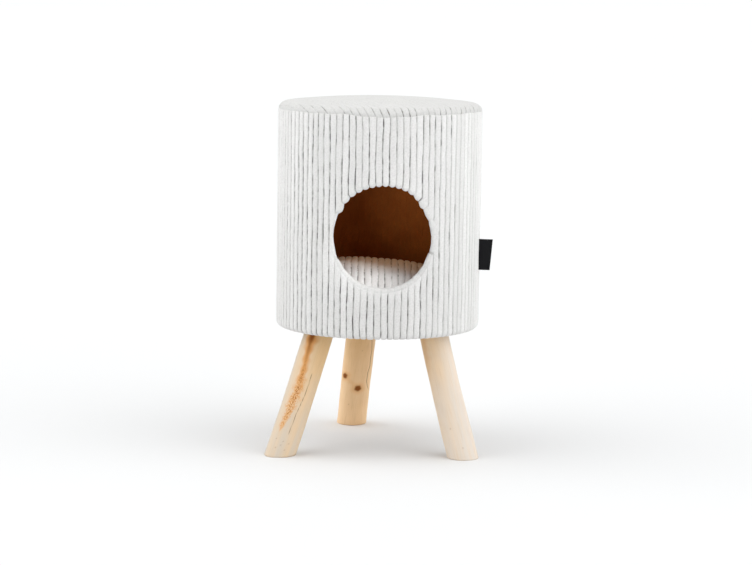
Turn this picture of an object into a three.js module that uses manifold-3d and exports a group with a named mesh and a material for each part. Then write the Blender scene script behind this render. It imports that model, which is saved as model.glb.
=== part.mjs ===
// Pet cave bed: a corduroy drum with a round entrance and a cushion inside, on three splayed log legs.
// Millimetres, +Z up. The entrance faces -Y, and the feet stand at Z = 0.
import * as THREE from 'three';
import { mergeVertices } from 'three/addons/utils/BufferGeometryUtils.js';
import Module from 'manifold-3d';

const wasm = await Module();
wasm.setup();

// Drum
const GAP = 0.3; // clearance between neighbouring pieces
const DRUM_RADIUS = 175; // over the rib crests
const DRUM_BOTTOM = 211.2; // underside of the turned-under cloth
const DRUM_TOP = 596.7; // top panel, just inside its rounded edge
const SEAM_Z = 584.7; // seam between the side and the top panel

// Corduroy
const RIB_COUNT = 96; // ribs around the side
const RIB_PITCH = (2 * Math.PI * DRUM_RADIUS) / RIB_COUNT;
const RIB_HEIGHT = 4;
const CLOTH_BASE = 2.5; // backing under the ribs
const CLOTH = CLOTH_BASE + RIB_HEIGHT;
const RIB_WAVE = { swing: 0.0023, length: 240, waves: 9 }; // side ribs wander a little, in radians
const GROOVE_TURN = THREE.MathUtils.degToRad(-2.1); // first groove, right of the front
const RIB_POINTS = [
  { place: 0, sunk: 1 }, // bottom of the groove
  { place: 0.24, sunk: 0 },
  { place: 0.76, sunk: 0 },
];

// Side cover
const COVER_INNER = DRUM_RADIUS - CLOTH;
const HEM_BEND = 9; // rounding of the lower edge
const HEM_INNER = 148; // the cloth ends here under the drum
const HEM_RIBS = 0.5; // share of the rib height left at that end
const HEM_CHAMFER = 3;
const SEAM_EASE = 5; // the ribs rise to full height over this much below the seam
const COVER_SPANS = 3; // straight rows on the wall

// Entrance, a circle on the unrolled wall
const ENTRANCE_RADIUS = 84.7;
const ENTRANCE_Z = 382.3;
const ENTRANCE_TURN = THREE.MathUtils.degToRad(2.8);
const ENTRANCE_SIDES = 48;
const LIP = 2.5; // cloth turned in over the edge of the board
const LIP_PAST_BOARD = 1.5;
const ENTRANCE_OUTSIDE = -190; // flat ends of the cuts, before and behind the wall
const ENTRANCE_INSIDE = -110;
const ENTRANCE_EDGE = [
  { grow: 7, depth: -2.5 }, // the cloth's edge rounds inwards, at these depths below the rib crests
  { grow: 2.2, depth: 1.2 },
  { grow: 0, depth: 5 },
];

// Boards
const BOARD = 5;
const WALL_OUTER = COVER_INNER - GAP;
const WALL_INNER = WALL_OUTER - BOARD;
const DISC_RADIUS = WALL_INNER - GAP;
const DISC_BOARD = 10;
const FLOOR_BOTTOM = DRUM_BOTTOM + CLOTH + GAP;
const FLOOR_TOP = FLOOR_BOTTOM + DISC_BOARD;
const PANEL_UNDER = DRUM_TOP - CLOTH; // underside of the top panel
const WALL_TOP = PANEL_UNDER - GAP;
const WALL_SIDES = 96;
const DISC_SIDES = 48;

// Padded discs: the rounded edge has a radius, and the middle stands up by the crown
const TOP_PANEL = {
  radius: DRUM_RADIUS,
  edge: 18,
  level: DRUM_TOP,
  crown: 9,
  rimZ: SEAM_Z + GAP / 2,
  rimRadius: DRUM_RADIUS - RIB_HEIGHT,
  ribHeight: RIB_HEIGHT / 2, // the pad pulls the cloth flatter
  ribTurn: THREE.MathUtils.degToRad(20),
  lean: 0,
};
const CUSHION = {
  radius: 160.5,
  edge: 30,
  level: 308.5,
  crown: 14,
  rimZ: 284,
  rimRadius: 160.5,
  ribHeight: RIB_HEIGHT,
  ribTurn: 0,
  lean: -0.08, // rise for each millimetre to the right, full on the flat part
};
const CUSHION_UNDER = FLOOR_TOP + GAP;
const CUSHION_BELOW = [
  { inset: 2, up: 18 },
  { inset: 9, up: 5 },
  { inset: 24, up: 0 },
];
const DISC_STEPS = 6; // points from the middle of a rib to its end
const DISC_CROWD = 2.2; // how much those points crowd towards the end
const RIM_EASE = 1; // grooves end this much above the rim
const DISC_RIB_LIMIT = 0.97; // share of the half width that is ribbed
const DISC_END_ANGLES = [79.5, 83, 86.5]; // plain columns past the last rib
const UNDER_SIDES = 64;

// Legs: where each foot stands from the drum's axis, and how far in its top is, as a share of that
const LEGS = [
  { name: 'leg_left', footX: -162.6, footY: -97.5, topShare: 0.592, footWidth: 51.5, topWidth: 49, bow: 1.5 },
  { name: 'leg_right', footX: 148.4, footY: -99.6, topShare: 0.645, footWidth: 52, topWidth: 48, bow: -1 },
  { name: 'leg_rear', footX: -44, footY: 199, topShare: 0.53, footWidth: 52.5, topWidth: 53, bow: 1 },
];
const LEG_TOP = FLOOR_BOTTOM - GAP;
const LEG_SIDES = 20;
const LEG_ROWS = 5;
const LEG_UNEVEN = 0.018; // a log is not quite round

// Flag label, sewn into the side seam
const LABEL = {
  rootRadius: 173.6,
  top: 366.5,
  height: 53,
  reachTop: 24.5,
  reachBottom: 20,
  thick: 2,
  bevel: 0.4,
};
const LABEL_GROOVE = 22; // grooves to the right of the first one

// Finishes
const FINISHES = {
  corduroy: { color: 0xe9e7e3, roughness: 0.95, metalness: 0 },
  board: { color: 0x6b3a1c, roughness: 0.85, metalness: 0 },
  wood: { color: 0xdfc39a, roughness: 0.7, metalness: 0 },
  ribbon: { color: 0x15151a, roughness: 0.8, metalness: 0 },
};

// A list of points and triangles that becomes one geometry
class Solid {
  points = [];
  faces = [];

  add([x, y, z]) {
    this.points.push(x, y, z);
    return this.points.length / 3 - 1;
  }

  // One ring of points, each with its share of the way round
  ring(count, place) {
    return Array.from({ length: count }, (_, k) => {
      const turn = k / count;
      return { turn, id: this.add(place(turn, k)) };
    });
  }

  // Joins two rings that may differ in count, with the upper one above as seen from outside
  bridge(lower, upper) {
    const turnAt = (ring, k) => ring[k % ring.length].turn + Math.floor(k / ring.length);
    const idAt = (ring, k) => ring[k % ring.length].id;
    let i = 0;
    let j = 0;
    while (i < lower.length || j < upper.length) {
      const lowerIsNext = i < lower.length && turnAt(lower, i + 1) <= turnAt(upper, j + 1);
      if (j === upper.length || lowerIsNext) {
        this.faces.push(idAt(lower, i), idAt(lower, i + 1), idAt(upper, j));
        i += 1;
      } else {
        this.faces.push(idAt(lower, i), idAt(upper, j + 1), idAt(upper, j));
        j += 1;
      }
    }
  }

  // Closes a ring with a fan round a middle point
  cap(ring, middle, facesUp) {
    const hub = this.add(middle);
    ring.forEach(({ id }, k) => {
      const next = ring[(k + 1) % ring.length].id;
      this.faces.push(hub, ...(facesUp ? [id, next] : [next, id]));
    });
  }

  geometry() {
    const geometry = new THREE.BufferGeometry();
    geometry.setAttribute('position', new THREE.Float32BufferAttribute(this.points, 3));
    geometry.setIndex(this.faces);
    geometry.computeVertexNormals();
    return geometry;
  }
}

// Boolean work
function toManifold(geometry) {
  const bare = geometry.clone();
  bare.deleteAttribute('normal');
  bare.deleteAttribute('uv');
  const merged = mergeVertices(bare, 1e-4);
  return new wasm.Manifold(new wasm.Mesh({
    numProp: 3,
    vertProperties: Float32Array.from(merged.attributes.position.array),
    triVerts: Uint32Array.from(merged.index.array),
  }));
}

function toGeometry(manifold) {
  const { vertProperties, triVerts } = manifold.getMesh();
  const geometry = new THREE.BufferGeometry();
  geometry.setAttribute('position', new THREE.Float32BufferAttribute(vertProperties, 3));
  geometry.setIndex(Array.from(triVerts));
  geometry.computeVertexNormals();
  return geometry;
}

// A point on a circle round the drum's axis, turned from the front towards +X
function around(radius, turn, z) {
  return [radius * Math.sin(turn), -radius * Math.cos(turn), z];
}

// A ring of the entrance's outline, grown by some millimetres, on the face that faceAt gives
function entranceRing(solid, grow, faceAt) {
  return solid.ring(ENTRANCE_SIDES, (share) => {
    const angle = 2 * Math.PI * share;
    const sideways = DRUM_RADIUS * Math.sin(((ENTRANCE_RADIUS + grow) * Math.cos(angle)) / DRUM_RADIUS);
    const z = ENTRANCE_Z + (ENTRANCE_RADIUS + grow) * Math.sin(angle);
    return [sideways, faceAt(sideways), z];
  });
}

// A plug along the entrance's axis, through rings listed from outside to inside
function entrancePlug(rings) {
  const solid = new Solid();
  const loops = rings.map(({ grow, faceAt }) => entranceRing(solid, grow, faceAt));
  loops.slice(1).forEach((loop, k) => solid.bridge(loop, loops[k]));
  const first = rings[0];
  const last = rings[rings.length - 1];
  solid.cap(loops[0], [0, first.faceAt(0), ENTRANCE_Z], true);
  solid.cap(loops[loops.length - 1], [0, last.faceAt(0), ENTRANCE_Z], false);
  return toManifold(solid.geometry().rotateZ(ENTRANCE_TURN));
}

// Where a face lies at some distance to the side: a flat one, or a cylinder's front moved in by some depth
const flatFace = (y) => () => y;
const cylinderFace = (radius, depth = 0) => (sideways) => depth - Math.sqrt(radius ** 2 - sideways ** 2);

function entranceThroughCloth() {
  const edge = ENTRANCE_EDGE.map(({ grow, depth }) => ({ grow, faceAt: cylinderFace(DRUM_RADIUS, depth) }));
  return entrancePlug([
    { grow: edge[0].grow, faceAt: flatFace(ENTRANCE_OUTSIDE) },
    ...edge,
    { grow: 0, faceAt: flatFace(ENTRANCE_INSIDE) },
  ]);
}

function entranceLip() {
  const inCloth = (COVER_INNER + DRUM_RADIUS - RIB_HEIGHT) / 2;
  return entrancePlug([
    { grow: LIP, faceAt: cylinderFace(inCloth) },
    { grow: LIP, faceAt: cylinderFace(WALL_INNER - LIP_PAST_BOARD) },
  ]);
}

function entranceThroughBoard() {
  return entrancePlug([
    { grow: LIP + GAP, faceAt: flatFace(ENTRANCE_OUTSIDE) },
    { grow: LIP + GAP, faceAt: flatFace(ENTRANCE_INSIDE) },
  ]);
}

// Side cover: ribbed wall, rounded lower edge and turned-under end, then back up the plain inside
function sideCover() {
  const wallFoot = DRUM_BOTTOM + HEM_BEND;
  const wallHead = SEAM_Z - SEAM_EASE;
  const seam = { radius: DRUM_RADIUS - RIB_HEIGHT, z: SEAM_Z - GAP / 2, out: 1, down: 0, ribs: 0 };
  const wall = Array.from({ length: COVER_SPANS + 1 }, (_, k) => {
    const z = wallHead + ((wallFoot - wallHead) * k) / COVER_SPANS;
    return { radius: DRUM_RADIUS, z, out: 1, down: 0, ribs: 1 };
  });
  const bend = [Math.PI / 4, Math.PI / 2].map((angle) => ({
    radius: DRUM_RADIUS - HEM_BEND * (1 - Math.cos(angle)),
    z: wallFoot - HEM_BEND * Math.sin(angle),
    out: Math.cos(angle),
    down: Math.sin(angle),
    ribs: 1,
  }));
  const hem = { radius: HEM_INNER, z: DRUM_BOTTOM, out: 0, down: 1, ribs: HEM_RIBS };
  const inside = [
    { radius: HEM_INNER, z: DRUM_BOTTOM + CLOTH },
    { radius: COVER_INNER - HEM_CHAMFER, z: DRUM_BOTTOM + CLOTH },
    { radius: COVER_INNER, z: DRUM_BOTTOM + CLOTH + HEM_CHAMFER },
    { radius: COVER_INNER, z: SEAM_Z - GAP / 2 },
  ];

  const solid = new Solid();
  const ribTurn = (2 * Math.PI) / RIB_COUNT;
  const outerRings = [seam, ...wall, ...bend, hem].map((row) => {
    const ring = [];
    for (let rib = 0; rib < RIB_COUNT; rib += 1) {
      RIB_POINTS.forEach(({ place, sunk }) => {
        const turn = (rib + place) / RIB_COUNT;
        const phase = (2 * Math.PI * row.z) / RIB_WAVE.length + RIB_WAVE.waves * rib * ribTurn;
        const angle = GROOVE_TURN + (rib + place) * ribTurn + RIB_WAVE.swing * Math.sin(phase);
        const depth = RIB_HEIGHT * sunk * row.ribs;
        const point = around(row.radius - depth * row.out, angle, row.z + depth * row.down);
        ring.push({ turn, id: solid.add(point) });
      });
    }
    return ring;
  });
  const innerRings = inside.map(({ radius, z }) =>
    solid.ring(WALL_SIDES, (share) => around(radius, GROOVE_TURN + 2 * Math.PI * share, z)));
  const rings = [...outerRings, ...innerRings];
  rings.forEach((ring, k) => solid.bridge(rings[(k + 1) % rings.length], ring));

  const cloth = toManifold(solid.geometry()).add(entranceLip());
  return toGeometry(cloth.subtract(entranceThroughCloth()));
}

// Board wall: a plain tube with the entrance cut through it
function shellWall() {
  const section = [
    new THREE.Vector2(WALL_INNER, FLOOR_BOTTOM),
    new THREE.Vector2(WALL_OUTER - HEM_CHAMFER, FLOOR_BOTTOM),
    new THREE.Vector2(WALL_OUTER, FLOOR_BOTTOM + HEM_CHAMFER),
    new THREE.Vector2(WALL_OUTER, WALL_TOP),
    new THREE.Vector2(WALL_INNER, WALL_TOP),
    new THREE.Vector2(WALL_INNER, FLOOR_BOTTOM),
  ];
  const tube = new THREE.LatheGeometry(section, WALL_SIDES).rotateX(Math.PI / 2).rotateZ(GROOVE_TURN);
  return toGeometry(toManifold(tube).subtract(entranceThroughBoard()));
}

// A flat board disc that fits inside the wall
function boardDisc(bottom) {
  const section = [
    new THREE.Vector2(0, bottom),
    new THREE.Vector2(DISC_RADIUS, bottom),
    new THREE.Vector2(DISC_RADIUS, bottom + DISC_BOARD),
    new THREE.Vector2(0, bottom + DISC_BOARD),
  ];
  return new THREE.LatheGeometry(section, DISC_SIDES).rotateX(Math.PI / 2);
}

// Columns of a ribbed disc of cloth: along each groove and shoulder, then a few plain ones at both sides
function discColumns(spread) {
  const columns = [{ across: -spread, sunk: 0 }];
  const ends = DISC_END_ANGLES.map((angle) => spread * Math.sin(THREE.MathUtils.degToRad(angle)));
  ends.toReversed().forEach((across) => columns.push({ across: -across, sunk: 0 }));
  const ribs = Math.ceil(spread / RIB_PITCH);
  for (let rib = -ribs; rib <= ribs; rib += 1) {
    RIB_POINTS.forEach(({ place, sunk }) => {
      const across = (rib + place) * RIB_PITCH;
      if (Math.abs(across) < DISC_RIB_LIMIT * spread) {
        columns.push({ across, sunk });
      }
    });
  }
  ends.forEach((across) => columns.push({ across, sunk: 0 }));
  columns.push({ across: spread, sunk: 0 });
  return columns;
}

// Place and lean of a padded disc's face, at some distance from its middle along the cloth
function discProfile(disc, distance) {
  const flat = disc.radius - disc.edge;
  if (distance < flat) {
    return { radius: distance, z: disc.level + disc.crown * (1 - (distance / flat) ** 2), out: 0, up: 1 };
  }
  const angle = (distance - flat) / disc.edge;
  return {
    radius: flat + disc.edge * Math.sin(angle),
    z: disc.level - disc.edge * (1 - Math.cos(angle)),
    out: Math.sin(angle),
    up: Math.cos(angle),
  };
}

// Ribbed upper face of a padded disc, which returns its rim as a ring
function ribbedFace(solid, disc) {
  const edgeAngle = Math.acos(1 - (disc.level - disc.rimZ) / disc.edge);
  const spread = disc.radius - disc.edge + disc.edge * edgeAngle;
  const place = (across, along, sunk, isRim) => {
    const distance = Math.hypot(across, along);
    const angle = Math.atan2(along, across) + disc.ribTurn;
    const face = discProfile(disc, distance);
    const radius = isRim ? disc.rimRadius : face.radius - disc.ribHeight * sunk * face.out;
    const z = isRim ? disc.rimZ : Math.max(disc.rimZ + RIM_EASE, face.z - disc.ribHeight * sunk * face.up);
    const x = radius * Math.cos(angle);
    const aboveRim = Math.min(1, (z - disc.rimZ) / (disc.level - disc.rimZ));
    return [x, radius * Math.sin(angle), z + disc.lean * x * aboveRim];
  };
  const shares = Array.from({ length: 2 * DISC_STEPS + 1 }, (_, k) => {
    const step = k / DISC_STEPS - 1;
    return Math.sign(step) * (1 - (1 - Math.abs(step)) ** DISC_CROWD);
  });
  const rimPoint = (across, along) => ({
    turn: (Math.atan2(along, across) + Math.PI) / (2 * Math.PI),
    id: solid.add(place(across, along, 0, true)),
  });
  const columns = discColumns(spread);
  const lines = columns.slice(1, -1).map(({ across, sunk }) => {
    const half = Math.sqrt(spread ** 2 - across ** 2);
    const near = rimPoint(across, -half);
    const middle = shares.slice(1, -1).map((share) => {
      const point = place(across, share * half, sunk, false);
      return { id: solid.add(point) };
    });
    return [near, ...middle, rimPoint(across, half)];
  });
  const left = { turn: 0, id: solid.add(place(-spread, 0, 0, true)) };
  const right = { turn: 0.5, id: solid.add(place(spread, 0, 0, true)) };

  const firstLine = lines[0];
  const lastLine = lines[lines.length - 1];
  for (let k = 0; k < shares.length - 1; k += 1) {
    solid.faces.push(left.id, firstLine[k].id, firstLine[k + 1].id);
    solid.faces.push(right.id, lastLine[k + 1].id, lastLine[k].id);
    lines.slice(1).forEach((line, n) => {
      const before = lines[n];
      solid.faces.push(before[k].id, line[k].id, line[k + 1].id);
      solid.faces.push(before[k].id, line[k + 1].id, before[k + 1].id);
    });
  }
  const nearEnds = lines.map((line) => line[0]);
  const farEnds = lines.map((line) => line[line.length - 1]);
  return [left, ...nearEnds, right, ...farEnds.toReversed()];
}

// A ring under a padded disc, turned as its ribs are
function underRing(solid, disc, radius, z) {
  return solid.ring(UNDER_SIDES, (share) => {
    const angle = 2 * Math.PI * share - Math.PI + disc.ribTurn;
    return [radius * Math.cos(angle), radius * Math.sin(angle), z];
  });
}

// A padded disc from its ribbed face down through the rings below it to a flat underside
function paddedDisc(disc, below) {
  const solid = new Solid();
  let upper = ribbedFace(solid, disc);
  below.forEach(({ radius, z }) => {
    const lower = underRing(solid, disc, radius, z);
    solid.bridge(lower, upper);
    upper = lower;
  });
  solid.cap(upper, [0, 0, below[below.length - 1].z], false);
  return solid.geometry();
}

// Top panel: padded cloth whose edge hangs over the boards down to the seam
function topCover() {
  return paddedDisc(TOP_PANEL, [
    { radius: COVER_INNER, z: TOP_PANEL.rimZ },
    { radius: COVER_INNER, z: PANEL_UNDER },
  ]);
}

// Cushion: one filled pad with a flat underside
function cushion() {
  return paddedDisc(CUSHION, CUSHION_BELOW.map(({ inset, up }) => ({
    radius: CUSHION.radius - inset,
    z: CUSHION_UNDER + up,
  })));
}

// A leaning log, cut level at the floor and under the drum
function legLog({ footX, footY, topShare, footWidth, topWidth, bow }) {
  const foot = new THREE.Vector2(footX, footY);
  // Sideways move for each unit of height, and how much longer that makes a level cut through the log
  const drift = foot.clone().multiplyScalar((topShare - 1) / DRUM_BOTTOM);
  const stretch = Math.hypot(1, drift.length());
  const leanAngle = foot.angle();
  const solid = new Solid();
  const rings = Array.from({ length: LEG_ROWS + 1 }, (_, row) => {
    const share = 1 - row / LEG_ROWS;
    const z = LEG_TOP * share;
    const radius = THREE.MathUtils.lerp(footWidth, topWidth, share) / 2;
    const middle = foot.clone().addScaledVector(drift, z);
    const sideways = bow * Math.sin(Math.PI * share);
    return solid.ring(LEG_SIDES, (turn) => {
      const angle = 2 * Math.PI * turn;
      const uneven = radius * (1 + LEG_UNEVEN * Math.sin(3 * angle + 4 * share));
      const local = new THREE.Vector2(uneven * stretch * Math.cos(angle), uneven * Math.sin(angle));
      local.y += sideways;
      local.rotateAround(new THREE.Vector2(), leanAngle).add(middle);
      return [local.x, local.y, z];
    });
  });
  rings.slice(1).forEach((ring, k) => solid.bridge(ring, rings[k]));
  const top = foot.clone().addScaledVector(drift, LEG_TOP);
  solid.cap(rings[0], [top.x, top.y, LEG_TOP], true);
  solid.cap(rings[LEG_ROWS], [foot.x, foot.y, 0], false);
  return solid.geometry();
}

// Flag label: a folded strip that stands out of the side seam and droops a little
function flagLabel() {
  const { bevel, height, reachTop, reachBottom, thick } = LABEL;
  const outline = new THREE.Shape([
    new THREE.Vector2(bevel, bevel),
    new THREE.Vector2(reachBottom - bevel, bevel),
    new THREE.Vector2(reachTop - bevel, height - bevel),
    new THREE.Vector2(bevel, height - bevel),
  ]);
  const strip = new THREE.ExtrudeGeometry(outline, {
    depth: thick - 2 * bevel,
    bevelEnabled: true,
    bevelThickness: bevel,
    bevelSize: bevel,
    bevelSegments: 1,
  });
  return strip.translate(0, 0, bevel - thick / 2).rotateX(Math.PI / 2);
}

function namedMesh(name, geometry, finish) {
  const mesh = new THREE.Mesh(geometry, new THREE.MeshStandardMaterial(FINISHES[finish]));
  mesh.name = name;
  return mesh;
}

const bed = new THREE.Group();
bed.add(namedMesh('side_cover', sideCover(), 'corduroy'));
bed.add(namedMesh('top_cover', topCover(), 'corduroy'));
bed.add(namedMesh('shell_wall', shellWall(), 'board'));
bed.add(namedMesh('shell_ceiling', boardDisc(WALL_TOP - DISC_BOARD), 'board'));
bed.add(namedMesh('shell_floor', boardDisc(FLOOR_BOTTOM), 'board'));
bed.add(namedMesh('cushion', cushion(), 'corduroy'));
LEGS.forEach((leg) => bed.add(namedMesh(leg.name, legLog(leg), 'wood')));

const label = namedMesh('label', flagLabel(), 'ribbon');
const labelTurn = GROOVE_TURN + (LABEL_GROOVE * 2 * Math.PI) / RIB_COUNT;
label.position.set(...around(LABEL.rootRadius, labelTurn, LABEL.top - LABEL.height));
label.rotation.z = labelTurn - Math.PI / 2;
bed.add(label);

// The origin lies on the floor under the middle of the whole bed
const middle = new THREE.Box3().setFromObject(bed).getCenter(new THREE.Vector3());
bed.position.set(-middle.x, -middle.y, 0);

const part = new THREE.Group();
part.add(bed);
export default part;
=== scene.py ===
import math
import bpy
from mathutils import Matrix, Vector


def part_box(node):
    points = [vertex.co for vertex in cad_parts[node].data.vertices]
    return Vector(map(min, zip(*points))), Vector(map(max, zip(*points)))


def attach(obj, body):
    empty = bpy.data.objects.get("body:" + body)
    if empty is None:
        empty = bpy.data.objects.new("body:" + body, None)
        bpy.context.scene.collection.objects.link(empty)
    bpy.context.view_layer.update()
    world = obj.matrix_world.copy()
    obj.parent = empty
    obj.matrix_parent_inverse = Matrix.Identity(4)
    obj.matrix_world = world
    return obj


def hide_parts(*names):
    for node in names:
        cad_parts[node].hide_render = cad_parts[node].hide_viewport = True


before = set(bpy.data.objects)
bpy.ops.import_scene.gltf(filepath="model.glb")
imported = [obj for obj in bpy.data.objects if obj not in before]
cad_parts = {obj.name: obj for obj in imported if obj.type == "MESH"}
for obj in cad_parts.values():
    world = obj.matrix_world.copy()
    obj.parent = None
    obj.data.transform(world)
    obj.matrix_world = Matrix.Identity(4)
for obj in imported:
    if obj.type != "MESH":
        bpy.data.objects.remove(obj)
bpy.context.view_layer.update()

from types import SimpleNamespace

import bpy
import numpy as np
from mathutils import Matrix, Vector
from mathutils.bvhtree import BVHTree

MM = 0.001
FULL_TURN = 2 * math.pi
QUARTER_TURN = math.pi / 2

# Drum, read from the frame
SIDE_LOW, SIDE_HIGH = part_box("side_cover")
AXIS = np.array([(SIDE_LOW.x + SIDE_HIGH.x) / 2, (SIDE_LOW.y + SIDE_HIGH.y) / 2, 0.0])
DRUM_RADIUS = (SIDE_HIGH.x - SIDE_LOW.x) / 2
FACE_RADIUS = DRUM_RADIUS - 0.3 * MM  # leaves room for the uneven crests
DRUM_BOTTOM = SIDE_LOW.z
SEAM_Z = (SIDE_HIGH.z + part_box("top_cover")[0].z) / 2

# Corduroy ribs
RIB_COUNT = 96
RIB_PITCH = FULL_TURN * DRUM_RADIUS / RIB_COUNT
RIB_HEIGHT = 4.0 * MM
RIB_ROUNDNESS = 6.5  # higher makes flatter crests and narrower grooves
RIB_PLACES = np.array([0, 0.04, 0.09, 0.17, 0.3, 0.5, 0.7, 0.83, 0.91, 0.96])
GROOVE_TURN = math.radians(-2.1)
WALL_ROW = 6 * MM
# Seeded waves along each groove. Sideways: swing and length in metres. Depth: share and length in metres.
SIDE_WANDER = [(0.6 * MM, 0.19), (0.3 * MM, 0.07), (0.18 * MM, 0.031)]
DISC_WANDER = [(0.4 * MM, 0.15), (0.2 * MM, 0.06)]
GROOVE_DEPTH = [(0.24, 0.21), (0.2, 0.09), (0.16, 0.035)]
GROOVE_BASE = (0.3, 0.9)  # the mean strength of each groove of the wall lies between these
GROOVE_TREND = 0.42  # stronger by this much at the left, and weaker at the right, in depth and in painted shade, as the light from the right grazes the left side
GROOVE_LIMITS = (0.1, 1.15)
DISC_GROOVE = 0.62  # mean strength of the discs' grooves
FAINT_DEPTH = 0.65  # the faintest groove is still sunk by this share of the rib height
# Lumps on the crests: height, lengths of two waves, and the shift of the long one from rib to rib
LUMP = {"height": 0.12 * MM, "short": 9 * MM, "long": 23 * MM, "shift": 2.1}
# Tones of the pile and painted shade, from bright to dull. Each rib of the wall has a random tone, to which
# the painted shades below are added.
TONE_RANGE = (-1, 6)
RIB_TONES = (-1, 1)
LOW_PAINTED_SHADE = 2.3  # painted shade at the lower edge, fading out up to the seam
LIP_PAINTED_SHADE = 4  # painted shade on the lower part of the rolled entrance edge, which faces up into the light
LIP_SHADE_FULL = 0.7  # the lip's painted shade is full at this share of the radius below the entrance's middle

# Hem: rows of its turned-under end, from the inside out.
# Each has its share of the way out, height, share of the rib height, and 1 where the ribs are sunk upwards.
HEM_BEND = 9 * MM
HEM_INNER = 148 * MM
HEM_ROWS = [
    (0, 5 * MM, 0.2, 0), (0, 1.2 * MM, 0.5, 1),
    (0.08, 0, 0.632, 1), (0.4, 0, 0.76, 1), (0.75, 0, 0.9, 1),
]
HEM_STEPS = 5

# Seam under the top. It hangs lower at the front, and waves a little.
# Each wave: swing, number of waves round the drum, phase.
SEAM_EASE = 6 * MM
SEAM_TUCK = 1.4 * MM
SEAM_ANGLES = (25, 50, 72, 90)
SEAM_RIBS = 0.15  # share of the rib height left in the seam
SEAM_DROP = {"turn": math.radians(3), "half_width": math.radians(17), "fade": (0.6, 1.4), "drop": 2.8 * MM}
SEAM_WAVES = [(0.5 * MM, 9, 1.3), (0.35 * MM, 23, 0.4)]
SEAM_REACH = 40 * MM  # the cloth follows the seam over this much below it

# Entrance, a circle on the unrolled wall with a rolled edge
ENTRANCE_RADIUS = 84.7 * MM
ENTRANCE_Z = 382.3 * MM
ENTRANCE_TURN = math.radians(2.8)
ENTRANCE_ROLL = 8 * MM
EDGE_RADIUS = ENTRANCE_RADIUS + ENTRANCE_ROLL
ENTRANCE_STEADY = 20 * MM  # the grooves stop wandering over this much round it
ROLL_STEPS = 7
ROLL_BULGE = 0.6 * MM
ROLL_GROOVE = 0.87  # share of the rib height on the roll
ROLL_FADE = 0.5  # the grooves' shade fades to this share at the turned-in end
SCALLOP = 3.0 * MM  # rounded rib ends stand this far into the opening
SILL = (5 * MM, 13 * MM)  # the ribs fade over this much below the opening
SILL_FADE = 0.75
SILL_FROM, SILL_FULL = 0.2, 0.75  # sines of the angle below the opening's middle
# The sewn edge is a little uneven: degrees from the right over the top, millimetres inwards or outwards
ENTRANCE_EDGE = [
    (-60, 0), (-20, -2), (-8, 0), (5, -0.5), (12, -3.5), (20, -4), (30, -4), (38, -5), (50, -1.5), (60, 0),
    (130, 0), (140, -0.5), (150, -3), (158, 0.5), (168, 1.5), (180, 0.5), (192, 1), (200, 1.5), (208, 0),
]
# Rings behind the roll: growth of the opening, share of the scallops left, share of the way in
LIP = 2.3 * MM  # the end is folded back by this much
LIP_RADIUS = 161.9 * MM  # the turned-in cloth ends on this cylinder
BORE_RINGS = [
    (-0.39 * MM, 0.7625, 0.35), (-0.18 * MM, 0.675, 0.7), (-0.03 * MM, 0.6125, 0.95),
    (0.7 * MM, 0.4, 1), (LIP, 0, 0.98), (LIP, 0, 0.8),
]

# Padded discs: radius, rounded edge, level of the flat part, crown in its middle, height of the rim,
# and slope of the face towards +X as lean.
# Their ribs: turn, share of the height left on the flat part, full height, roundness.
# Their pile: painted shade in the grooves, and a tone that is painted shade over the whole face.
TOP_PANEL = {
    "radius": DRUM_RADIUS + 1 * MM, "edge": 18 * MM, "level": 596.7 * MM, "crown": 9 * MM, "rim_z": SEAM_Z,
    "turn": math.radians(20), "lean": 0.0, "flat_ribs": 0.4, "rib_height": 2.0 * MM, "roundness": 7,
    "dark": 0.9, "tone": 4.9,
}
CUSHION = {
    "radius": 160.5 * MM, "edge": 30 * MM, "level": 308.5 * MM, "crown": 14 * MM, "rim_z": 284 * MM,
    "turn": 0.0, "lean": -0.08, "flat_ribs": 1.0, "rib_height": 2.8 * MM, "roundness": 3,
    "dark": 1.15, "tone": 2.4,
}
DISC_STEPS = 26
DISC_CROWD = 1.9  # higher crowds the rows towards the rim
DISC_ENDS = [78.0, 80.5, 83.0, 85.5, 88.0]  # last columns at both sides, in degrees round the rim
RIBS_RISE = (1 * MM, 10 * MM)  # ribs across the rounded edge rise to full height over this much of it
RIM_STEADY = 14 * MM  # the grooves stop wandering over this much before the rim
RIM_FADE = 4 * MM  # and the ribs run out over this much
# The top panel's edge is turned in by a share, and down
TOP_TUCK = np.array([0.985, 0.985, 1])
TOP_TUCK_DROP = np.array([0, 0, 0.5 * MM])
CUSHION_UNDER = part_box("cushion")[0].z
CUSHION_ROOM = 162.4 * MM
# Rings below the cushion's rim: inset, height above the underside
CUSHION_BELOW = [(1 * MM, 22 * MM), (3 * MM, 13 * MM), (9 * MM, 5 * MM), (16 * MM, 1.5 * MM), (24 * MM, 0)]
# The cushion's solid as a pad that is blown up
PAD_SHRINK = (0.965, 0.965, 0.9, 1)
PAD_VOXEL = 6 * MM
PAD_PRESSURE = 4
PAD_STEPS = 20
PAD_CAP = 10 * MM
PAD_SEARCH = 30 * MM  # the ribbed face looks for the pad this far inwards and outwards
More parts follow.
